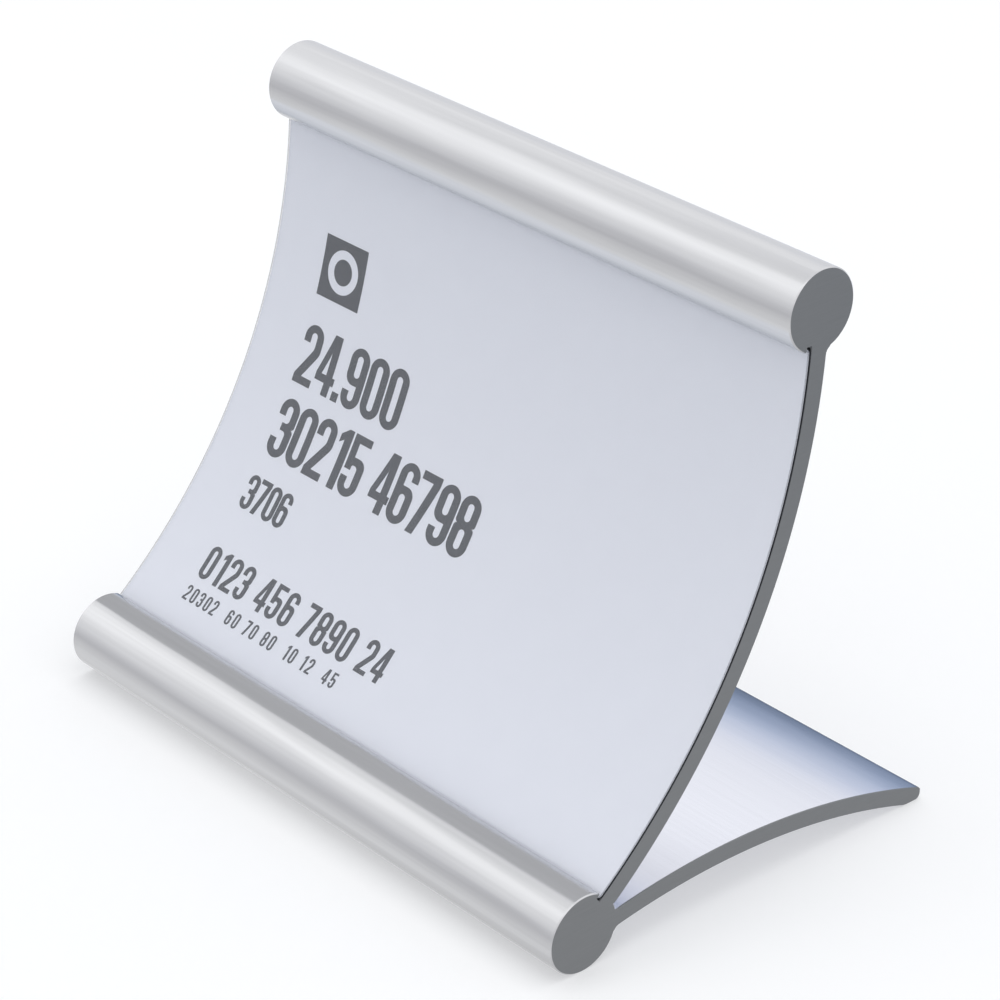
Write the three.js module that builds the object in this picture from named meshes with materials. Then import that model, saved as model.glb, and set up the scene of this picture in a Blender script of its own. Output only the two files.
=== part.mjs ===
// Table sign holder: one extruded aluminium profile with two slotted round rails, a curved panel
// between them and an arched foot behind. A printed card and a clear cover slide into the slots.
//
// Millimetres, +Z up, X along the rails, the sign faces -Y. The origin is under the middle of the
// holder's box, on the table. The profile is drawn in its own plane as (y, z), with y = 0 at the
// middle of the bottom rail, and then stood up along X.

import * as THREE from 'three';

// Overall sizes of the holder
const holderLength = 70;
const overallHeight = 60;
const overallDepth = 47.6;

// The two rails, and how far the top one leans back behind the bottom one
const railDiameter = 7.86;
const topRailSetback = 25.65;

// Curved panel, hollow towards the reader
const panelMiddleRadius = 64.15;
const panelWall = 1.92;
const panelRootFillet = 0.8;

// Arched foot, from the back of the bottom rail to the toe, whose underside is cut flat on the table
const footMiddleRadius = 77.6;
const footWall = 1.76;
const footRootFillet = 0.7;
const toeMiddleHeight = 0.2;
const toeTopRadius = 0.35;
const toeUnderRadius = 0.6;
const toeHeelRadius = 3;

// The two sheets stand on the floor of the low slot, with more room above them and at their faces
const cardThickness = 0.2;
const coverThickness = 0.15;
const sheetClearance = 0.07;
const sheetFootClearance = 0.08;
const sheetHeadClearance = 0.3;
const sheetEndInset = 0.28;
const slotDepth = 0.58;

// Fineness of the round stretches, in degrees for each straight step
const railStep = 5;
const sweepStep = 1.5;

// Finishes
const anodised = { color: 0xc3c6cd, roughness: 0.34, metalness: 1 };
const paper = { color: 0xdcdfea, roughness: 0.8, metalness: 0 };
const clearFilm = { color: 0xf4f6fa, roughness: 0.12, metalness: 0, transparent: true, opacity: 0.22 };

// Where two circles cross, on the left of the way from the first centre to the second, or on its right
function crossing(centreA, radiusA, centreB, radiusB, onLeft) {
  const span = centreB.clone().sub(centreA);
  const distance = span.length();
  const along = (distance ** 2 + radiusA ** 2 - radiusB ** 2) / (2 * distance);
  const aside = Math.sqrt(radiusA ** 2 - along ** 2) * (onLeft ? 1 : -1);
  const way = span.divideScalar(distance);
  return centreA.clone().add(new THREE.Vector2(
    way.x * along - way.y * aside,
    way.y * along + way.x * aside,
  ));
}

// Angle of a point seen from a centre, taken to within half a turn of a given angle
function angleOf(point, centre, near) {
  const turn = 2 * Math.PI;
  const angle = point.clone().sub(centre).angle();
  return angle + turn * Math.round((near - angle) / turn);
}

function onCircle(centre, radius, angle) {
  return new THREE.Vector2(
    centre.x + radius * Math.cos(angle),
    centre.y + radius * Math.sin(angle),
  );
}

// Points of an arc, with corners at whole steps, so that the rails reach their full diameter
function arc(centre, radius, from, to, stepDegrees) {
  const step = THREE.MathUtils.degToRad(stepDegrees);
  const sign = Math.sign(to - from);
  const points = [onCircle(centre, radius, from)];
  const first = sign > 0 ? Math.ceil(from / step + 0.25) : Math.floor(from / step - 0.25);
  for (let k = first; sign * (to / step - k) > 0.25; k += sign) {
    points.push(onCircle(centre, radius, k * step));
  }
  points.push(onCircle(centre, radius, to));
  return points;
}

// Centres and radii of the profile
const railRadius = railDiameter / 2;
const toeY = overallDepth - railRadius;
const bottomRail = new THREE.Vector2(0, railRadius);
const topRail = new THREE.Vector2(topRailSetback, overallHeight - railRadius);
const railBack = new THREE.Vector2(railRadius, railRadius);
const toeTip = new THREE.Vector2(toeY, toeMiddleHeight);
const panelCentre = crossing(bottomRail, panelMiddleRadius, topRail, panelMiddleRadius, true);
const footCentre = crossing(railBack, footMiddleRadius, toeTip, footMiddleRadius, false);
const panelFront = panelMiddleRadius - panelWall / 2;
const panelBack = panelMiddleRadius + panelWall / 2;
const footTop = footMiddleRadius + footWall / 2;
const footUnder = footMiddleRadius - footWall / 2;

// Slots: between the panel's front and a lip of each rail, both round the panel's centre
const slotWidth = cardThickness + coverThickness + 3 * sheetClearance;
const lipRadius = panelFront - slotWidth;
const lowLipAngle = angleOf(
  crossing(bottomRail, railRadius, panelCentre, lipRadius, false), panelCentre, -Math.PI / 4);
const highLipAngle = angleOf(
  crossing(topRail, railRadius, panelCentre, lipRadius, true), panelCentre, 0);
const lowFloorAngle = lowLipAngle - slotDepth / lipRadius;
const highFloorAngle = highLipAngle + slotDepth / lipRadius;

// Closed outline of the extruded profile, anticlockwise from the toe's flat
function profileOutline() {
  const toeUnder = new THREE.Vector2(toeY - toeUnderRadius, toeUnderRadius);
  const toeTopY = toeY - toeTopRadius;
  const topReach = Math.sqrt((footTop - toeTopRadius) ** 2 - (toeTopY - footCentre.x) ** 2);
  const toeTop = new THREE.Vector2(toeTopY, footCentre.y + topReach);
  const toeTopAngle = angleOf(toeTop, footCentre, Math.PI / 2);
  const heelReach = Math.sqrt((footUnder + toeHeelRadius) ** 2 - (toeHeelRadius - footCentre.y) ** 2);
  const toeHeel = new THREE.Vector2(footCentre.x + heelReach, toeHeelRadius);
  const heelAngle = angleOf(toeHeel, footCentre, Math.PI / 2);
  const footTopRoot = crossing(bottomRail, railRadius, footCentre, footTop, true);
  const panelBackRoot = crossing(bottomRail, railRadius, panelCentre, panelBack, false);
  const backFillet = crossing(
    topRail, railRadius + panelRootFillet, panelCentre, panelBack + panelRootFillet, true);
  const underFillet = crossing(
    bottomRail, railRadius + footRootFillet, footCentre, footUnder - footRootFillet, true);

  const toRailBack = angleOf(panelBackRoot, bottomRail, 0);
  const backFilletFromPanel = angleOf(backFillet, panelCentre, 0);
  const backFilletFromRail = angleOf(backFillet, topRail, -Math.PI / 4);
  const underFilletFromRail = angleOf(underFillet, bottomRail, 2 * Math.PI);
  const underFilletFromFoot = angleOf(underFillet, footCentre, Math.PI / 2);
  const highLip = onCircle(panelCentre, lipRadius, highLipAngle);
  const lowLip = onCircle(panelCentre, lipRadius, lowLipAngle);

  const stretches = [
    arc(toeUnder, toeUnderRadius, -Math.PI / 2, 0, 3 * railStep),
    arc(toeTop, toeTopRadius, 0, toeTopAngle, 3 * railStep),
    arc(footCentre, footTop, toeTopAngle, angleOf(footTopRoot, footCentre, Math.PI / 2), sweepStep),
    arc(bottomRail, railRadius, angleOf(footTopRoot, bottomRail, 0), toRailBack, railStep),
    arc(panelCentre, panelBack, angleOf(panelBackRoot, panelCentre, 0), backFilletFromPanel, sweepStep),
    arc(backFillet, panelRootFillet, backFilletFromPanel + Math.PI, backFilletFromRail + Math.PI, 3 * railStep),
    arc(topRail, railRadius, backFilletFromRail, angleOf(highLip, topRail, 1.5 * Math.PI), railStep),
    arc(panelCentre, lipRadius, highLipAngle, highFloorAngle, sweepStep),
    arc(panelCentre, panelFront, highFloorAngle, lowFloorAngle, sweepStep),
    arc(panelCentre, lipRadius, lowFloorAngle, lowLipAngle, sweepStep),
    arc(bottomRail, railRadius, angleOf(lowLip, bottomRail, Math.PI / 2), underFilletFromRail, railStep),
    arc(underFillet, footRootFillet, underFilletFromRail - Math.PI, underFilletFromFoot, 3 * railStep),
    arc(footCentre, footUnder, underFilletFromFoot, heelAngle, sweepStep),
    arc(toeHeel, toeHeelRadius, heelAngle - Math.PI, -Math.PI / 2, railStep),
  ];
  return stretches.flat();
}

// Closed outline of a sheet that follows the panel from slot floor to slot floor
function sheetOutline(frontRadius, thickness) {
  const low = lowFloorAngle + sheetFootClearance / lipRadius;
  const high = highFloorAngle - sheetHeadClearance / lipRadius;
  return [
    ...arc(panelCentre, frontRadius + thickness, low, high, sweepStep),
    ...arc(panelCentre, frontRadius, high, low, sweepStep),
  ];
}

// A named solid: the outline extruded and stood up along X, centred on the holder's length
function extrusion(name, outline, length, finish) {
  const near = (a, b) => a.distanceTo(b) < 1e-6;
  const corners = outline.filter((point, k) => !near(point, outline[(k + 1) % outline.length]));
  const shape = new THREE.Shape(corners);
  const geometry = new THREE.ExtrudeGeometry(shape, { depth: length, steps: 1, bevelEnabled: false });
  const outlineToSpace = new THREE.Matrix4().set(
    0, 0, 1, 0,
    1, 0, 0, 0,
    0, 1, 0, 0,
    0, 0, 0, 1,
  );
  geometry.applyMatrix4(outlineToSpace);
  const mesh = new THREE.Mesh(geometry, new THREE.MeshStandardMaterial(finish));
  mesh.name = name;
  mesh.position.set(-length / 2, railRadius - overallDepth / 2, 0);
  return mesh;
}

const sheetLength = holderLength - 2 * sheetEndInset;
const cardFront = panelFront - sheetClearance - cardThickness;
const coverFront = cardFront - sheetClearance - coverThickness;

const signHolder = new THREE.Group();
signHolder.add(
  extrusion('holder_extrusion', profileOutline(), holderLength, anodised),
  extrusion('insert_card', sheetOutline(cardFront, cardThickness), sheetLength, paper),
  extrusion('clear_cover', sheetOutline(coverFront, coverThickness), sheetLength, clearFilm),
);

export default signHolder;
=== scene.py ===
import math

import bmesh
import bpy
from mathutils import Matrix, Vector


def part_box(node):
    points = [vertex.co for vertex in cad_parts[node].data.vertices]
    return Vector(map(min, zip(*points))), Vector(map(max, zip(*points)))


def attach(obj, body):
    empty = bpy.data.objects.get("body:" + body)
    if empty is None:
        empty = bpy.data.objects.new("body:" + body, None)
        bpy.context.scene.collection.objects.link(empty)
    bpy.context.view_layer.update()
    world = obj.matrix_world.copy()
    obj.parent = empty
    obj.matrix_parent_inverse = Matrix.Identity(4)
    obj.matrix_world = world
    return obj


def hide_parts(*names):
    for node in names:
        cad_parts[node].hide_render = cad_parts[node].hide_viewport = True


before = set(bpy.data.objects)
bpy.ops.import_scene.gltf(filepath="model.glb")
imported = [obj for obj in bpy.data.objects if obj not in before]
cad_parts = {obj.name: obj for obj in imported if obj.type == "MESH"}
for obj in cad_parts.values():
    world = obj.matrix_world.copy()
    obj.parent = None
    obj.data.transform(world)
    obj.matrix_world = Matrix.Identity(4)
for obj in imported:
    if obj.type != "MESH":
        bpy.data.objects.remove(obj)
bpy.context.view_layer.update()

# The camera stands at the front right, above the sign, and looks down on it with a slight roll.
# Its place and lens give the photograph's perspective in a square picture, with no shift.
camera_azimuth = 47.666
camera_elevation = 27.736
camera_roll = 1.043
camera_place = Vector((0.22213, -0.20115, 0.18343))

camera_data = bpy.data.cameras.new("photo_camera")
camera_data.sensor_width = 36.0
camera_data.lens = 129.845
camera_data.clip_start = 0.01
camera_data.clip_end = 20.0
camera = bpy.data.objects.new("photo_camera", camera_data)
camera.matrix_world = (
    Matrix.Translation(camera_place)
    @ Matrix.Rotation(math.radians(camera_azimuth), 4, "Z")
    @ Matrix.Rotation(math.radians(90.0 - camera_elevation), 4, "X")
    @ Matrix.Rotation(math.radians(camera_roll), 4, "Z")
)
bpy.context.scene.collection.objects.link(camera)
bpy.context.scene.camera = camera

# The holder is one sawn length of extruded aluminium: a slotted round rail on the table, a thin
# panel curved towards the reader, a second slotted rail on top, and an arched foot behind. It is
# silver anodised all over, and its two ends are sawn square with the edges just broken.
holder_low, holder_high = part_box("holder_extrusion")
holder_depth = holder_high.y - holder_low.y
rail_radius = 0.00393
top_rail_setback = 0.02565
panel_middle_radius = 0.06415
panel_wall = 0.00192
panel_root_fillet = 0.0008
foot_middle_radius = 0.0776
foot_wall = 0.00176
foot_root_fillet = 0.0007
toe_middle_height = 0.0002
toe_top_radius = 0.00035
toe_under_radius = 0.0006
toe_heel_radius = 0.003
slot_width = 0.00056
slot_depth = 0.00058
slot_reach = 0.00085
lip_tip_radius = 0.0002
broken_edge = 0.00011
fine_edge = 0.00003
fine_edge_length = 0.00014
rail_step = math.radians(2.0)
sweep_step = math.radians(0.5)
fillet_step = 5 * rail_step
rail_tolerance = 0.000004
sharp_holder_edge = 22


def crossing(centre_a, radius_a, centre_b, radius_b, on_left):
    """Where two circles cross, on the left or the right of the way from a to b."""
    span = centre_b - centre_a
    way = span.normalized()
    along = (span.length_squared + radius_a**2 - radius_b**2) / (2 * span.length)
    aside = math.sqrt(radius_a**2 - along**2) * (1 if on_left else -1)
    return centre_a + Vector((way.x * along - way.y * aside, way.y * along + way.x * aside))


def angle_of(point, centre, near):
    """Angle of a point seen from a centre, taken to within half a turn of near."""
    angle = math.atan2(point.y - centre.y, point.x - centre.x)
    return angle + 2 * math.pi * round((near - angle) / (2 * math.pi))


def on_circle(centre, radius, angle):
    """The point of a circle at an angle, which turns from the first axis towards the second."""
    return centre + Vector((math.cos(angle), math.sin(angle))) * radius


def arc(centre, radius, start, end, step):
    """Points of an arc with corners at whole steps, so that a rail reaches its full diameter."""
    sign = 1 if end > start else -1
    first = math.ceil(start / step + 0.25) if sign > 0 else math.floor(start / step - 0.25)
    points = [on_circle(centre, radius, start)]
    while sign * (end / step - first) > 0.25:
        points.append(on_circle(centre, radius, first * step))
        first += sign
    points.append(on_circle(centre, radius, end))
    return points


rail_shift = holder_low.y + rail_radius
bottom_rail = Vector((rail_shift, rail_radius))
top_rail = Vector((rail_shift + top_rail_setback, holder_high.z - rail_radius))
panel_centre = crossing(bottom_rail, panel_middle_radius, top_rail, panel_middle_radius, True)
rail_back = bottom_rail + Vector((rail_radius, 0))
toe_tip = Vector((holder_high.y, toe_middle_height))
foot_centre = crossing(rail_back, foot_middle_radius, toe_tip, foot_middle_radius, False)
panel_front = panel_middle_radius - panel_wall / 2
panel_back = panel_middle_radius + panel_wall / 2
foot_top = foot_middle_radius + foot_wall / 2
foot_under = foot_middle_radius - foot_wall / 2
lip_radius = panel_front - slot_width
low_mouth = crossing(bottom_rail, rail_radius, panel_centre, lip_radius, False)
high_mouth = crossing(top_rail, rail_radius, panel_centre, lip_radius, True)
low_floor_angle = angle_of(low_mouth, panel_centre, -math.pi / 4) - slot_depth / lip_radius
high_floor_angle = angle_of(high_mouth, panel_centre, 0) + slot_depth / lip_radius


def profile_outline():
    """The extruded section as points (y, z), anticlockwise from the toe's flat."""
    toe_under = Vector((holder_high.y - toe_under_radius, toe_under_radius))
    toe_top_y = holder_high.y - toe_top_radius
    top_reach = (foot_top - toe_top_radius) ** 2 - (toe_top_y - foot_centre.x) ** 2
    toe_top = Vector((toe_top_y, foot_centre.y + math.sqrt(top_reach)))
    toe_top_angle = angle_of(toe_top, foot_centre, math.pi / 2)
    heel_reach = (foot_under + toe_heel_radius) ** 2 - (toe_heel_radius - foot_centre.y) ** 2
    toe_heel = Vector((foot_centre.x + math.sqrt(heel_reach), toe_heel_radius))
    heel_angle = angle_of(toe_heel, foot_centre, math.pi / 2)
    foot_root = crossing(bottom_rail, rail_radius, foot_centre, foot_top, True)
    panel_root = crossing(bottom_rail, rail_radius, panel_centre, panel_back, False)
    back_fillet = crossing(
        top_rail, rail_radius + panel_root_fillet, panel_centre, panel_back + panel_root_fillet, True)
    under_fillet = crossing(
        bottom_rail, rail_radius + foot_root_fillet, foot_centre, foot_under - foot_root_fillet, True)
    back_from_panel = angle_of(back_fillet, panel_centre, 0)
    back_from_rail = angle_of(back_fillet, top_rail, -math.pi / 4)
    under_from_rail = angle_of(under_fillet, bottom_rail, 2 * math.pi)
    under_from_foot = angle_of(under_fillet, foot_centre, math.pi / 2)
    low_tip = crossing(
        bottom_rail, rail_radius - lip_tip_radius, panel_centre, lip_radius - lip_tip_radius, False)
    high_tip = crossing(
        top_rail, rail_radius - lip_tip_radius, panel_centre, lip_radius - lip_tip_radius, True)
    low_wall_end = angle_of(low_tip, panel_centre, -math.pi / 4)
    low_rail_start = angle_of(low_tip, bottom_rail, math.pi / 3)
    high_rail_end = angle_of(high_tip, top_rail, 1.5 * math.pi)
    high_wall_start = angle_of(high_tip, panel_centre, 0)
    stretches = [
        arc(toe_under, toe_under_radius, -math.pi / 2, 0, fillet_step),
        arc(toe_top, toe_top_radius, 0, toe_top_angle, fillet_step),
        arc(foot_centre, foot_top, toe_top_angle,
            angle_of(foot_root, foot_centre, math.pi / 2), sweep_step),
        arc(bottom_rail, rail_radius, angle_of(foot_root, bottom_rail, 0),
            angle_of(panel_root, bottom_rail, 0), rail_step),
        arc(panel_centre, panel_back, angle_of(panel_root, panel_centre, 0), back_from_panel, sweep_step),
        arc(back_fillet, panel_root_fillet,
            back_from_panel + math.pi, back_from_rail + math.pi, fillet_step),
        arc(top_rail, rail_radius, back_from_rail, high_rail_end, rail_step),
        arc(high_tip, lip_tip_radius, high_rail_end, high_wall_start + 2 * math.pi, fillet_step),
        arc(panel_centre, lip_radius, high_wall_start, high_floor_angle, sweep_step),
        arc(panel_centre, panel_front, high_floor_angle, low_floor_angle, sweep_step),
        arc(panel_centre, lip_radius, low_floor_angle, low_wall_end, sweep_step),
        arc(low_tip, lip_tip_radius, low_wall_end, low_rail_start, fillet_step),
        arc(bottom_rail, rail_radius, low_rail_start, under_from_rail, rail_step),
        arc(under_fillet, foot_root_fillet, under_from_rail - math.pi, under_from_foot, fillet_step),
        arc(foot_centre, foot_under, under_from_foot, heel_angle, sweep_step),
        arc(toe_heel, toe_heel_radius, heel_angle - math.pi, -math.pi / 2, rail_step),
    ]
    points = [p for stretch in stretches for p in stretch]
    return [p for p, after in zip(points, points[1:] + points[:1]) if (p - after).length > 1e-8]


def on_a_rail(point):
    """True on the round of either rail, and false on the thin walls and in the slots."""
    nearest_rail = min((point - bottom_rail).length, (point - top_rail).length)
    return abs(nearest_rail - rail_radius) < rail_tolerance


def in_a_slot(point):
    """True within reach of either slot's mouth, which takes in the slot and its lip."""
    return min((point - low_mouth).length, (point - high_mouth).length) < slot_reach


def drawn_in(outline):
    """The same closed outline, moved into its own material by the break of its edges."""
    inner = []
    for before, point, after in zip(outline[-1:] + outline[:-1], outline, outline[1:] + outline[:1]):
        edge_in = (point - before).normalized()
        edge_out = (after - point).normalized()
        normal_in = Vector((-edge_in.y, edge_in.x))
        normal_out = Vector((-edge_out.y, edge_out.x))
        middle = (normal_in + normal_out).normalized()
        inset = broken_edge if on_a_rail(point) else fine_edge
        inner.append(point + middle * (inset / max(0.5, middle.dot(normal_out))))
    return inner


def shade_by_angle(mesh, degrees):
    """Smooth shading, with a crisp line where two faces meet at more than the given angle."""
    mesh.shade_smooth()
    mesh.set_sharp_from_angle(angle=math.radians(degrees))


def piece_from(name, bm, *materials):
    """A new object from a bmesh, with its normals outward and its materials in order."""
    bmesh.ops.recalc_face_normals(bm, faces=bm.faces)
    mesh = bpy.data.meshes.new(name)
    bm.to_mesh(mesh)
    bm.free()
    for material in materials:
        mesh.materials.append(material)
    piece = bpy.data.objects.new(name, mesh)
    bpy.context.scene.collection.objects.link(piece)
    return piece


def new_material(name):
    """A material with its node tree, its Principled shader and a node for the object's own places."""
    material = bpy.data.materials.new(name)
    material.use_nodes = True
    nodes = material.node_tree.nodes
    places = nodes.new("ShaderNodeTexCoord")
    return material, nodes["Principled BSDF"], places.outputs["Object"]


def added(material, kind, inputs=None, **settings):
    """A node of one kind, with its settings and with values or links on its inputs."""
    node = material.node_tree.nodes.new(kind)
    for name, value in settings.items():
        setattr(node, name, value)
    for name, value in (inputs or {}).items():
        if isinstance(value, bpy.types.NodeSocket):
            material.node_tree.links.new(value, node.inputs[name])
        else:
            node.inputs[name].default_value = value
    return node


def linked(material, source, target):
    """A link from one socket to another in the node tree of a material or of the room."""
    material.node_tree.links.new(source, target)


def anodised_aluminium(name, low_tone, high_tone, wave_height):
    """Satin silver anodising: faint die lines and slow waves along the extrusion, and a fine grain."""
    material, shader, places = new_material(name)
    shader.inputs["Metallic"].default_value = 1.0
    along = added(material, "ShaderNodeMapping", {"Vector": places, "Scale": (0.012, 1.0, 1.0)})
    lines = added(material, "ShaderNodeTexNoise", {
        "Vector": along.outputs["Vector"], "Scale": 2600.0, "Detail": 3.0, "Roughness": 0.5})
    slowly_along = added(material, "ShaderNodeMapping", {"Vector": places, "Scale": (0.17, 1.0, 1.0)})
    waves = added(material, "ShaderNodeTexNoise", {
        "Vector": slowly_along.outputs["Vector"], "Scale": 330.0, "Detail": 1.0, "Roughness": 0.4})
    cloud = added(material, "ShaderNodeTexNoise", {
        "Vector": places, "Scale": 80.0, "Detail": 0.0, "Roughness": 0.5})
    grain = added(material, "ShaderNodeTexNoise", {
        "Vector": places, "Scale": 9000.0, "Detail": 2.0, "Roughness": 0.6})
    tone = added(material, "ShaderNodeMix", {
        "Factor": lines.outputs["Fac"], "A": (*low_tone, 1.0), "B": (*high_tone, 1.0)}, data_type="RGBA")
    rough = added(material, "ShaderNodeMapRange", {
        "Value": cloud.outputs["Fac"], "From Min": 0.0, "From Max": 1.0, "To Min": 0.19, "To Max": 0.262})
    wavy = added(material, "ShaderNodeBump", {
        "Height": waves.outputs["Fac"], "Strength": 1.0, "Distance": wave_height})
    height = added(material, "ShaderNodeMath", {0: lines.outputs["Fac"], 1: grain.outputs["Fac"]},
                   operation="ADD")
    bump = added(material, "ShaderNodeBump", {
        "Height": height.outputs["Value"], "Strength": 0.25, "Distance": 0.000008,
        "Normal": wavy.outputs["Normal"]})
    linked(material, tone.outputs["Result"], shader.inputs["Base Color"])
    linked(material, rough.outputs["Result"], shader.inputs["Roughness"])
    linked(material, bump.outputs["Normal"], shader.inputs["Normal"])
    return material


def sawn_end():
    """The sawn end of the profile: duller and greyer, with the saw's fine parallel marks."""
    material, shader, places = new_material("sawn_end")
    shader.inputs["Metallic"].default_value = 0.7
    shader.inputs["Roughness"].default_value = 0.52
    across = added(material, "ShaderNodeMapping", {
        "Vector": places, "Rotation": (math.radians(35), 0.0, 0.0), "Scale": (1.0, 0.05, 1.0)})
    marks = added(material, "ShaderNodeTexNoise", {
        "Vector": across.outputs["Vector"], "Scale": 5200.0, "Detail": 3.0, "Roughness": 0.55})
    tone = added(material, "ShaderNodeMix", {
        "Factor": marks.outputs["Fac"],
        "A": (0.220, 0.229, 0.237, 1.0), "B": (0.248, 0.257, 0.265, 1.0)}, data_type="RGBA")
    bump = added(material, "ShaderNodeBump", {
        "Height": marks.outputs["Fac"], "Strength": 0.2, "Distance": 0.000005})
    linked(material, tone.outputs["Result"], shader.inputs["Base Color"])
    linked(material, bump.outputs["Normal"], shader.inputs["Normal"])
    return material


def sawn_length(name, outline, low_x, high_x, rail_metal, sawn_metal, sheen_wall_metal, shaded_slot_metal):
    """The outline extruded along X, with both ends flat and their edges broken."""
    bm = bmesh.new()
    inner = drawn_in(outline)
    edges = [broken_edge if on_a_rail(p) else fine_edge_length for p in outline]
    rings = [
        [bm.verts.new((low_x, p.x, p.y)) for p in inner],
        [bm.verts.new((low_x + edge, p.x, p.y)) for edge, p in zip(edges, outline)],
        [bm.verts.new((high_x - edge, p.x, p.y)) for edge, p in zip(edges, outline)],
        [bm.verts.new((high_x, p.x, p.y)) for p in inner],
    ]
    for k, point in enumerate(outline):
        after = (k + 1) % len(outline)
        on_rail = on_a_rail(point) and on_a_rail(outline[after])
        in_slot = in_a_slot((point + outline[after]) / 2)
        for number, (ring, next_ring) in enumerate(zip(rings, rings[1:])):
            face = bm.faces.new((ring[k], ring[after], next_ring[after], next_ring[k]))
            if on_rail:
                face.material_index = 0
            # The end bands of the walls and slots take the sawn end's grey: partly the cut's own broken
            # edge, partly painted shade for the gap beside the card's ends.
            elif number != 1:
                face.material_index = 1
            # The other faces of the walls take the lighter, bluer wall tone, which is a painted sheen.
            else:
                # Faces in the slots and on their lips take the dark slot tone, which is painted shade.
                face.material_index = 3 if in_slot else 2
    for ring in (rings[0], rings[-1]):
        bm.faces.new(ring).material_index = 1
    return piece_from(name, bm, rail_metal, sawn_metal, sheen_wall_metal, shaded_slot_metal)


holder = sawn_length(
    "holder_profile", profile_outline(), holder_low.x, holder_high.x,
    anodised_aluminium("silver_anodised_rails", (0.60, 0.605, 0.62), (0.67, 0.675, 0.69), 0.00018),
    sawn_end(),
    # The walls' tone is the rails' anodising made lighter and bluer: a painted sheen.
    anodised_aluminium("silver_anodised_walls_painted_sheen", (0.715, 0.73, 0.795), (0.775, 0.79, 0.855), 0.00002),
    # The slots' tone is the same anodising painted dark: painted shade in the slots and on their lips.
    anodised_aluminium("silver_anodised_slots_painted_shade", (0.26, 0.265, 0.28), (0.32, 0.325, 0.34), 0.00002))
shade_by_angle(holder.data, sharp_holder_edge)
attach(holder, "holder")
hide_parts("holder_extrusion")

# The card is a printed sheet of smooth card, cut to the holder's length and bent to lie on the
# panel. Nothing fixes it: its low edge stands in the bottom slot and its top edge in the upper one.
card_thickness = 0.0002
sheet_clearance = 0.00003
sheet_foot_clearance = 0.00008
sheet_head_clearance = 0.0003
sheet_corner_radius = 0.0004
sheet_end_inset = 0.00002
sheet_columns = 24
sheet_rows = 110
corner_steps = 6
sharp_sheet_edge = 40
sheet_low_angle = low_floor_angle + sheet_foot_clearance / lip_radius
sheet_high_angle = high_floor_angle - sheet_head_clearance / lip_radius
card_front = panel_front - sheet_clearance - card_thickness


def bent_sheet(name, front_radius, thickness, corner, *materials):
    """A thin sheet bent from slot to slot, with rounded corners and a rim of the last material."""
    bm = bmesh.new()
    low_x = holder_low.x + sheet_end_inset
    high_x = holder_high.x - sheet_end_inset
    height = (sheet_high_angle - sheet_low_angle) * front_radius
    corner_rows = [
        corner * (1 - math.cos(k * math.pi / (2 * corner_steps))) for k in range(corner_steps)]
    body_rows = [corner + (height - 2 * corner) * k / sheet_rows for k in range(sheet_rows + 1)]
    rows = corner_rows + body_rows + [height - w for w in reversed(corner_rows)]
    sides = []
    for radius in (front_radius, front_radius + thickness):
        grid = []
        for w in rows:
            into = max(0.0, corner - min(w, height - w))
            inset = corner - math.sqrt(max(0.0, corner**2 - into**2))
            angle = sheet_low_angle + w / front_radius
            spot = on_circle(panel_centre, radius, angle)
            left, right = low_x + inset, high_x - inset
            grid.append([
                bm.verts.new((left + (right - left) * k / sheet_columns, spot.x, spot.y))
                for k in range(sheet_columns + 1)])
        sides.append(grid)
        for row, upper in zip(grid, grid[1:]):
            for k in range(sheet_columns):
                bm.faces.new((row[k], row[k + 1], upper[k + 1], upper[k]))
    front, back = sides
    rims = [
        (front[0], back[0]), (front[-1], back[-1]),
        ([row[0] for row in front], [row[0] for row in back]),
        ([row[-1] for row in front], [row[-1] for row in back]),
    ]
    for near, far in rims:
        for k in range(len(near) - 1):
            rim = bm.faces.new((near[k], near[k + 1], far[k + 1], far[k]))
            rim.material_index = len(materials) - 1
    return piece_from(name, bm, *materials)


def smooth_card():
    """Cool white card: a trace of fibre cloud in its tone and a fine tooth in its surface."""
    material, shader, places = new_material("cool_white_card")
    shader.inputs["Roughness"].default_value = 0.72
    shader.inputs["Specular IOR Level"].default_value = 0.35
    cloud = added(material, "ShaderNodeTexNoise", {
        "Vector": places, "Scale": 420.0, "Detail": 6.0, "Roughness": 0.65})
    tooth = added(material, "ShaderNodeTexNoise", {
        "Vector": places, "Scale": 2600.0, "Detail": 3.0, "Roughness": 0.6})
    tone = added(material, "ShaderNodeMix", {
        "Factor": cloud.outputs["Fac"],
        "A": (0.765, 0.785, 0.86, 1.0), "B": (0.80, 0.82, 0.89, 1.0)}, data_type="RGBA")
    bump = added(material, "ShaderNodeBump", {
        "Height": tooth.outputs["Fac"], "Strength": 0.08, "Distance": 0.000005})
    linked(material, tone.outputs["Result"], shader.inputs["Base Color"])
    linked(material, bump.outputs["Normal"], shader.inputs["Normal"])
    return material


def shaded_cut_edge():
    """The card's cut edge, fibrous and dull, painted near-black as the shade of the gap behind the card."""
    material, shader, places = new_material("cut_card_edge_painted_shade")
    shader.inputs["Roughness"].default_value = 0.95
    shader.inputs["Specular IOR Level"].default_value = 0.1
    fibre = added(material, "ShaderNodeTexNoise", {
        "Vector": places, "Scale": 5000.0, "Detail": 4.0, "Roughness": 0.7})
    tone = added(material, "ShaderNodeMix", {
        "Factor": fibre.outputs["Fac"],
        "A": (0.010, 0.011, 0.014, 1.0), "B": (0.028, 0.030, 0.036, 1.0)}, data_type="RGBA")
    linked(material, tone.outputs["Result"], shader.inputs["Base Color"])
    return material


card = bent_sheet(
    "sign_card", card_front, card_thickness, sheet_corner_radius, smooth_card(), shaded_cut_edge())
shade_by_angle(card.data, sharp_sheet_edge)
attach(card, "card")
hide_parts("insert_card")

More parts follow.
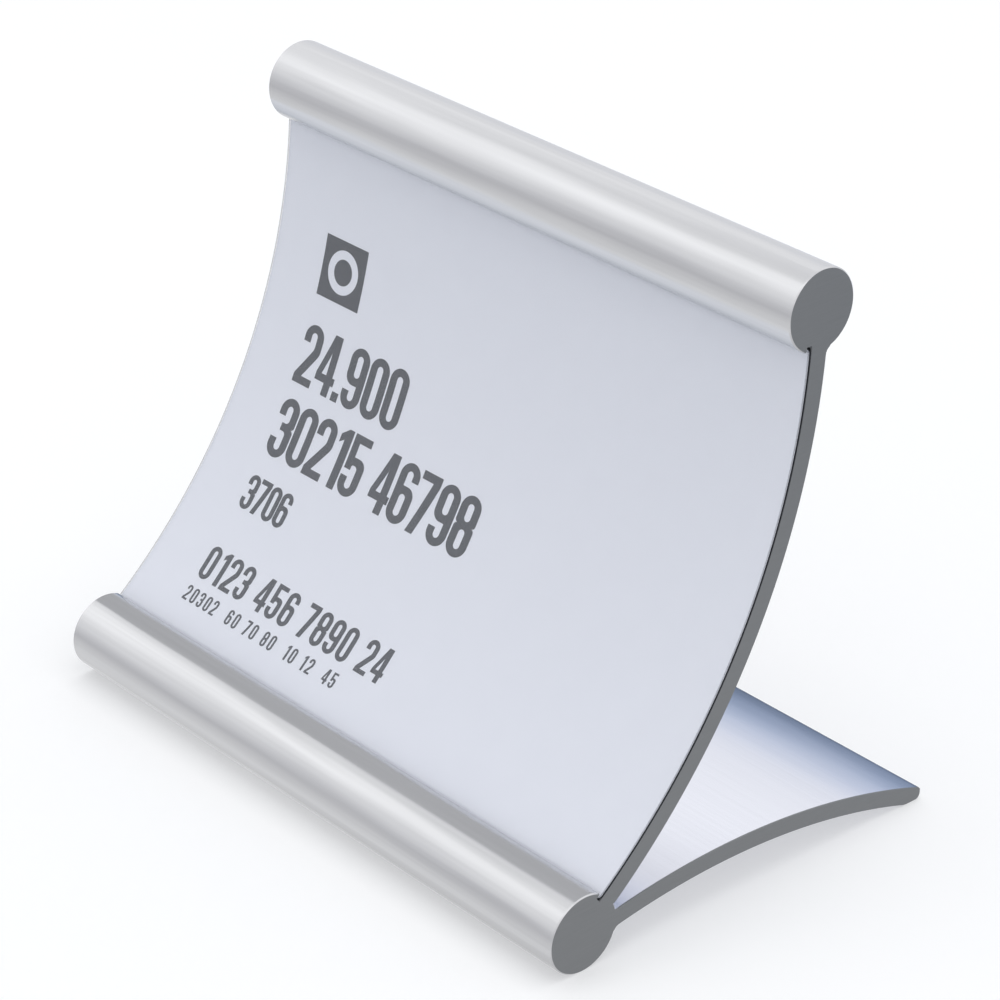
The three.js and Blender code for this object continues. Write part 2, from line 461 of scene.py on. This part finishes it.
# The print is dark grey ink on the card's face: a tile with a ring, two lines of plain numerals in
# a heavy narrow cut, and smaller lines of numerals under them. It was printed flat, before bending.
print_left = -0.0279
print_row = 0.0005
tile = 0.0062
tile_low = 0.0366
ring_radius = 0.0022
ring_hole_radius = 0.0013
disc_corners = 72
curve_step = math.radians(9)

# Each line: its numerals, the height of its foot on the card, its height, and the gap after each
lines_of_numerals = (
    ("24.900", 0.0276, 0.0061, 0.00022),
    ("30215 46798", 0.0199, 0.0061, 0.00020),
    ("3706", 0.0140, 0.0036, 0.00010),
    ("0123 456 7890 24", 0.0060, 0.0036, 0.00034),
    ("20302  60 70 80  10 12  45", 0.0034, 0.0016, 0.00034),
)
ink_lift = 0.000012
ink_bottom = 0.000001
digit_height = 100
digit_width = 43
digit_stretch = 1.03
round_out = digit_width / 2
round_in = 6.5
lower_eye = ((15, 13, round_in), (28, 13, round_in), (28, 45, round_in), (15, 45, round_in))
upper_eye = ((15, 58, round_in), (28, 58, round_in), (28, 87, round_in), (15, 87, round_in))
six = (
    ((0, 0, round_out), (43, 0, round_out), (43, 62, 17), (15, 62), (15, 87, round_in), (28, 87, round_in),
     (28, 72), (43, 72), (43, 100, round_out), (0, 100, round_out)),
    ((15, 13, round_in), (28, 13, round_in), (28, 49, round_in), (15, 49, round_in)),
)
digit_loops = {
    "0": (((0, 0, round_out), (43, 0, round_out), (43, 100, round_out), (0, 100, round_out)),
          ((15, 13, round_in), (28, 13, round_in), (28, 87, round_in), (15, 87, round_in))),
    "1": (((15, 0), (31, 0), (31, 100), (20, 100), (5, 88), (5, 74), (15, 81)),),
    "2": (((0, 0), (42, 0), (42, 13), (17, 13), (43, 56, 20), (43, 100, round_out), (0, 100, round_out),
           (0, 69), (15, 69), (15, 87, round_in), (28, 87, round_in), (28, 61, 14), (0, 14)),),
    "3": (((0, 31), (0, 0, round_out), (43, 0, round_out), (43, 50, 6), (37, 51.5), (43, 53, 6),
           (43, 100, round_out), (0, 100, round_out), (0, 69), (15, 69), (15, 87, round_in),
           (28, 87, round_in), (28, 58, round_in), (14, 58), (14, 45), (28, 45, round_in),
           (28, 13, round_in), (15, 13, round_in), (15, 31)),),
    "4": (((23, 0), (38, 0), (38, 20), (44, 20), (44, 33), (38, 33), (38, 100), (20, 100), (0, 33), (0, 20),
           (23, 20)), ((12, 33), (23, 33), (23, 70))),
    "5": (((0, 31), (0, 0, round_out), (43, 0, round_out), (43, 64, 16), (15, 64), (15, 87), (41, 87),
           (41, 100), (1, 100), (1, 42), (15, 42), (15, 51, 4), (28, 51, round_in), (28, 13, round_in),
           (15, 13, round_in), (15, 31)),),
    "6": six,
    "7": (((6, 0), (22, 0), (42, 86), (42, 100), (0, 100), (0, 86), (26, 86)),),
    "8": (((0, 0, round_out), (43, 0, round_out), (43, 50, 6), (37, 51.5), (43, 53, 6), (43, 100, round_out),
           (0, 100, round_out), (0, 53, 6), (6, 51.5), (0, 50, 6)), lower_eye, upper_eye),
    "9": tuple(
        tuple((digit_width - corner[0], digit_height - corner[1], *corner[2:]) for corner in loop)
        for loop in six),
    ".": (((0, 0), (15, 0), (15, 15), (0, 15)),),
}
digit_advance = {"1": 31, ".": 15, " ": 20}


def rounded(corners):
    """Points of a closed polygon whose corners (x, y, radius) are rounded where they have a radius."""
    points = []
    for before, corner, after in zip(corners[-1:] + corners[:-1], corners, corners[1:] + corners[:1]):
        spot = Vector(corner[:2])
        if len(corner) == 2:
            points.append(spot)
            continue
        radius = corner[2]
        way_in = (spot - Vector(before[:2])).normalized()
        way_out = (Vector(after[:2]) - spot).normalized()
        turn = way_in.angle_signed(way_out)
        reach = radius * math.tan(abs(turn) / 2)
        side = -1 if turn > 0 else 1
        centre = spot - way_in * reach + Vector((-way_in.y, way_in.x)) * radius * side
        first = spot - way_in * reach - centre
        steps = max(2, math.ceil(abs(turn) / curve_step))
        for k in range(steps + 1):
            swing = -turn * k / steps
            points.append(centre + Matrix.Rotation(swing, 2) @ first)
    return points


def flat_print():
    """All the print in the flat as filled 2D curves, x along the card and y up its face."""
    curve = bpy.data.curves.new("print_in_the_flat", "CURVE")
    curve.dimensions = "2D"
    curve.fill_mode = "BOTH"

    def closed(points):
        spline = curve.splines.new("POLY")
        spline.points.add(len(points) - 1)
        spline.use_cyclic_u = True
        for spot, (x, y) in zip(spline.points, points):
            spot.co = (x, y, 0.0, 1.0)

    def disc(x, y, radius):
        turns = [2 * math.pi * k / disc_corners for k in range(disc_corners)]
        closed([(x + radius * math.cos(turn), y + radius * math.sin(turn)) for turn in turns])

    closed([(print_left, tile_low), (print_left + tile, tile_low),
            (print_left + tile, tile_low + tile), (print_left, tile_low + tile)])
    disc(print_left + tile / 2, tile_low + tile / 2, ring_radius)
    disc(print_left + tile / 2, tile_low + tile / 2, ring_hole_radius)
    for numerals, low, height, gap in lines_of_numerals:
        scale = height / digit_height
        x = print_left
        for digit in numerals:
            width = digit_advance.get(digit, digit_width) * scale * digit_stretch
            for loop in digit_loops.get(digit, ()):
                closed([(x + p.x * scale * digit_stretch, low + p.y * scale) for p in rounded(loop)])
            x += width + gap
    return curve


def wrapped_print(name, curve, material):
    """The flat shapes cut into narrow rows, laid on the card's curved face and given an ink's body."""
    flat = bpy.data.objects.new("flat", curve)
    bpy.context.scene.collection.objects.link(flat)
    filled = bpy.data.meshes.new_from_object(flat.evaluated_get(bpy.context.evaluated_depsgraph_get()))
    whole = bmesh.new()
    whole.from_mesh(filled)
    bpy.data.meshes.remove(filled)
    bpy.data.objects.remove(flat)
    bmesh.ops.remove_doubles(whole, verts=whole.verts, dist=1e-7)
    heights = [v.co.y for v in whole.verts]
    first_row = math.ceil(min(heights) / print_row)
    last_row = math.floor(max(heights) / print_row)
    for k in range(first_row, last_row + 1):
        everything = whole.verts[:] + whole.edges[:] + whole.faces[:]
        bmesh.ops.bisect_plane(
            whole, geom=everything, plane_co=(0, k * print_row, 0), plane_no=(0, 1, 0), dist=1e-9)
    top_faces = whole.faces[:]
    extruded = bmesh.ops.extrude_face_region(whole, geom=top_faces)
    raised = {v for v in extruded["geom"] if isinstance(v, bmesh.types.BMVert)}
    for v in whole.verts:
        lift = ink_lift if v in raised else ink_bottom
        spot = on_circle(panel_centre, card_front - lift, sheet_low_angle + v.co.y / card_front)
        v.co = (v.co.x, spot.x, spot.y)
    return piece_from(name, whole, material)


def grey_ink():
    """Offset ink: dark neutral grey, a little uneven, with the soft sheen of dry ink."""
    material, shader, places = new_material("dark_grey_ink")
    shader.inputs["Roughness"].default_value = 0.5
    shader.inputs["Specular IOR Level"].default_value = 0.3
    speckle = added(material, "ShaderNodeTexNoise", {
        "Vector": places, "Scale": 3500.0, "Detail": 3.0, "Roughness": 0.6})
    tone = added(material, "ShaderNodeMix", {
        "Factor": speckle.outputs["Fac"],
        "A": (0.055, 0.060, 0.074, 1.0), "B": (0.074, 0.080, 0.098, 1.0)}, data_type="RGBA")
    linked(material, tone.outputs["Result"], shader.inputs["Base Color"])
    return material


card_print = wrapped_print("card_print", flat_print(), grey_ink())
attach(card_print, "card")

# The cover is a clear film of the card's size that lies in the same slots, in front of the card,
# and keeps it clean. It is cut from a roll and held by nothing but the two lips.
cover_thickness = 0.00015
cover_front = card_front - sheet_clearance - cover_thickness


def clear_film():
    """Clear film with a faint gloss, and a trace of waviness from its making."""
    material, shader, places = new_material("clear_film")
    shader.inputs["Base Color"].default_value = (0.93, 0.945, 0.97, 1.0)
    shader.inputs["Roughness"].default_value = 0.12
    shader.inputs["Alpha"].default_value = 0.05
    wave = added(material, "ShaderNodeTexNoise", {
        "Vector": places, "Scale": 60.0, "Detail": 1.0, "Roughness": 0.4})
    bump = added(material, "ShaderNodeBump", {
        "Height": wave.outputs["Fac"], "Strength": 0.15, "Distance": 0.00005})
    linked(material, bump.outputs["Normal"], shader.inputs["Normal"])
    return material


def shaded_film_edge():
    """The film's cut edge, duller than its faces, painted dark grey and half opaque as shade along the
    card's ends.
    """
    material, shader, places = new_material("cut_film_edge_painted_shade")
    shader.inputs["Roughness"].default_value = 0.5
    shader.inputs["Alpha"].default_value = 0.5
    haze = added(material, "ShaderNodeTexNoise", {
        "Vector": places, "Scale": 3000.0, "Detail": 3.0, "Roughness": 0.6})
    tone = added(material, "ShaderNodeMix", {
        "Factor": haze.outputs["Fac"],
        "A": (0.09, 0.10, 0.12, 1.0), "B": (0.15, 0.165, 0.19, 1.0)}, data_type="RGBA")
    linked(material, tone.outputs["Result"], shader.inputs["Base Color"])
    return material


cover = bent_sheet(
    "clear_film_cover", cover_front, cover_thickness, sheet_corner_radius, clear_film(), shaded_film_edge())
shade_by_angle(cover.data, sharp_sheet_edge)
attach(cover, "cover")
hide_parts("clear_cover")

# The floor is a wide pale table top. Its glow makes it white to the eye and leaves the holder's
# own soft shadow on it. The metal mirrors the room's lower half in its place, evenly on both rails.
floor_radius = 3.0
floor_segments = 96
floor_glow = 0.28

floor_bm = bmesh.new()
bmesh.ops.create_circle(floor_bm, cap_ends=True, segments=floor_segments, radius=floor_radius)
floor_material = bpy.data.materials.new("pale_table")
floor_material.use_nodes = True
floor_shader = floor_material.node_tree.nodes["Principled BSDF"]
floor_shader.inputs["Base Color"].default_value = (0.715, 0.72, 0.727, 1.0)
floor_shader.inputs["Roughness"].default_value = 0.9
floor_shader.inputs["Specular IOR Level"].default_value = 0.1
floor_ray = added(floor_material, "ShaderNodeLightPath")
floor_seen = added(floor_material, "ShaderNodeMath", {
    0: floor_ray.outputs["Is Camera Ray"], 1: floor_ray.outputs["Is Glossy Ray"]}, operation="MAXIMUM")
floor_seen = added(floor_material, "ShaderNodeMath", {
    0: floor_seen.outputs["Value"], 1: floor_ray.outputs["Is Transmission Ray"]}, operation="MAXIMUM")
floor_strength = added(floor_material, "ShaderNodeMath", {
    0: floor_seen.outputs["Value"], 1: floor_glow}, operation="MULTIPLY")
floor_shader.inputs["Emission Color"].default_value = (1.0, 1.0, 1.0, 1.0)
linked(floor_material, floor_strength.outputs["Value"], floor_shader.inputs["Emission Strength"])
floor = piece_from("table_top", floor_bm, floor_material)
floor.visible_glossy = False

# The studio is a pale room. The eye sees it white, and the metal mirrors its softer tones: grey
# below, a dim horizon, and a bright band over it that is strongest on the reader's side.
room_strength = 0.84
room_colour = (0.97, 0.98, 1.0, 1.0)
front_tones = (
    (-1.00, (0.74, 0.74, 0.75)), (-0.76, (0.80, 0.80, 0.81)), (-0.70, (0.92, 0.92, 0.93)),
    (-0.63, (0.93, 0.93, 0.94)), (-0.45, (0.84, 0.84, 0.85)), (-0.18, (0.67, 0.67, 0.69)),
    (-0.03, (0.78, 0.78, 0.80)), (0.13, (0.93, 0.93, 0.95)), (0.42, (1.08, 1.08, 1.09)),
    (0.58, (1.30, 1.30, 1.31)), (0.71, (1.40, 1.40, 1.40)), (0.765, (0.93, 0.93, 0.94)),
    (0.80, (0.92, 0.92, 0.93)), (1.00, (0.98, 0.98, 0.99)),
)
back_tones = (
    (-1.00, (0.72, 0.72, 0.73)), (-0.76, (0.68, 0.68, 0.69)), (-0.70, (0.78, 0.78, 0.79)),
    (-0.64, (0.90, 0.90, 0.91)), (-0.50, (0.98, 0.98, 0.99)), (-0.35, (0.88, 0.88, 0.90)),
    (0.00, (0.86, 0.87, 0.90)), (0.10, (0.88, 0.89, 0.92)), (0.24, (0.90, 0.91, 0.95)),
    (0.30, (0.95, 0.96, 0.99)), (0.36, (1.01, 1.01, 1.03)), (0.45, (1.06, 1.06, 1.07)),
    (0.62, (1.14, 1.14, 1.15)), (0.70, (1.12, 1.12, 1.13)), (0.74, (0.86, 0.86, 0.88)),
    (0.78, (0.86, 0.86, 0.88)), (1.00, (0.98, 0.98, 0.99)),
)

world = bpy.data.worlds.new("studio")
bpy.context.scene.world = world
world.use_nodes = True
room_light = world.node_tree.nodes["Background"]
room_light.inputs["Color"].default_value = room_colour
room_light.inputs["Strength"].default_value = room_strength
direction = added(world, "ShaderNodeTexCoord")
parts_of_direction = added(world, "ShaderNodeSeparateXYZ", {"Vector": direction.outputs["Generated"]})
height_in_room = added(world, "ShaderNodeMapRange", {
    "Value": parts_of_direction.outputs["Z"], "From Min": -1.0, "From Max": 1.0})


def set_tones(ramp, tones):
    """Give a colour ramp the places and colours in tones."""
    elements = ramp.color_ramp.elements
    elements.remove(elements[1])
    for k, (place, colour) in enumerate(tones):
        element = elements[0] if k == 0 else elements.new(place)
        element.position = place
        element.color = (*colour, 1.0)


def tones_by_height(tones):
    """A colour ramp from the floor of the room to its ceiling, through the given heights."""
    ramp = added(world, "ShaderNodeValToRGB", {"Fac": height_in_room.outputs["Result"]})
    set_tones(ramp, [((height + 1) / 2, colour) for height, colour in tones])
    return ramp.outputs["Color"]


behind = added(world, "ShaderNodeMapRange", {
    "Value": parts_of_direction.outputs["Y"], "From Min": -0.2, "From Max": 0.2})
room_tone = added(world, "ShaderNodeMix", {
    "Factor": behind.outputs["Result"],
    "A": tones_by_height(front_tones), "B": tones_by_height(back_tones)}, data_type="RGBA")
mirrored_room = added(world, "ShaderNodeBackground", {"Color": room_tone.outputs["Result"]})
white_backdrop = added(world, "ShaderNodeBackground", {"Color": (1.0, 1.0, 1.0, 1.0)})
world_ray = added(world, "ShaderNodeLightPath")
white_to_ray = added(world, "ShaderNodeMath", {
    0: world_ray.outputs["Is Camera Ray"], 1: world_ray.outputs["Is Transmission Ray"]}, operation="MAXIMUM")
seen_by_metal = added(world, "ShaderNodeMixShader", {
    "Fac": world_ray.outputs["Is Glossy Ray"], 1: room_light.outputs["Background"],
    2: mirrored_room.outputs["Background"]})
seen_by_eye = added(world, "ShaderNodeMixShader", {
    "Fac": white_to_ray.outputs["Value"], 1: seen_by_metal.outputs["Shader"],
    2: white_backdrop.outputs["Background"]})
linked(world, seen_by_eye.outputs["Shader"], world.node_tree.nodes["World Output"].inputs["Surface"])

# Three glowing cards are seen only in the metal and paint reflections there: a blue-grey one upright behind
# the foot, a grey strip over the low rail that paints its upper side dark, and a pale strip under the top
# rail.
back_card_foot = Vector((0.095, -0.018))
back_card_head = Vector((0.095, 0.034))
back_card_tones = (
    (0.00, (0.30, 0.33, 0.40)), (0.12, (0.08, 0.10, 0.15)), (0.36, (0.08, 0.10, 0.15)),
    (0.43, (0.098, 0.142, 0.22)), (0.55, (0.195, 0.272, 0.405)), (0.67, (0.37, 0.465, 0.635)),
    (0.80, (0.60, 0.67, 0.825)), (1.00, (0.86, 0.90, 1.00)),
)
low_strip_front = Vector((-0.0206, 0.0100))
low_strip_back = Vector((-0.0169, 0.0083))
low_strip_tones = ((0.0, (0.56, 0.565, 0.58)), (1.0, (0.56, 0.565, 0.58)))
high_strip_front = Vector((-0.0003, 0.0510))
high_strip_back = Vector((0.0039, 0.0510))
high_strip_tones = (
    (0.00, (0.94, 0.965, 1.02)), (0.20, (0.94, 0.965, 1.02)), (0.44, (0.87, 0.89, 0.95)),
    (0.66, (0.81, 0.84, 0.90)), (0.85, (0.68, 0.71, 0.77)), (1.00, (0.52, 0.55, 0.60)),
)
strip_left = -0.060
strip_right = 0.035
back_card_left = -0.30
back_card_right = 0.12


def painted_reflection_card(name, edge_a, edge_b, low_x, high_x, tones):
    """A flat glowing card along X that only mirrors show, a painted reflection toned from its edge a to its
    edge b.
    """
    bm = bmesh.new()
    bm.faces.new([
        bm.verts.new((x, edge.x, edge.y))
        for x, edge in ((low_x, edge_a), (high_x, edge_a), (high_x, edge_b), (low_x, edge_b))])
    way = (edge_b - edge_a).normalized()
    material, _, places = new_material(name)
    across = added(material, "ShaderNodeVectorMath", {0: places, 1: (0.0, way.x, way.y)},
                   operation="DOT_PRODUCT")
    share = added(material, "ShaderNodeMapRange", {
        "Value": across.outputs["Value"], "From Min": way.dot(edge_a), "From Max": way.dot(edge_b)})
    ramp = added(material, "ShaderNodeValToRGB", {"Fac": share.outputs["Result"]})
    set_tones(ramp, tones)
    glow = added(material, "ShaderNodeEmission", {"Color": ramp.outputs["Color"]})
    surface = material.node_tree.nodes["Material Output"].inputs["Surface"]
    linked(material, glow.outputs["Emission"], surface)
    reflection_only_card = piece_from(name, bm, material)
    reflection_only_card.visible_camera = False
    reflection_only_card.visible_diffuse = False
    reflection_only_card.visible_transmission = False
    reflection_only_card.visible_shadow = False


painted_reflection_card(
    "back_painted_reflection_card", back_card_foot, back_card_head, back_card_left, back_card_right, back_card_tones)
painted_reflection_card(
    "low_painted_reflection_strip", low_strip_front, low_strip_back, strip_left, strip_right, low_strip_tones)
painted_reflection_card(
    "high_painted_reflection_strip", high_strip_front, high_strip_back, strip_left, strip_right, high_strip_tones)

# One wide soft lamp hangs over the table, and gives the holder the shadow that it stands on.
overhead = bpy.data.lights.new("overhead_light", "AREA")
overhead.shape = "SQUARE"
overhead.size = 1.0
overhead.energy = 3.0
overhead_light = bpy.data.objects.new("overhead_light", overhead)
overhead_light.location = (0.0, 0.0, 1.1)
bpy.context.scene.collection.objects.link(overhead_light)

bpy.context.scene.view_settings.view_transform = "Standard"
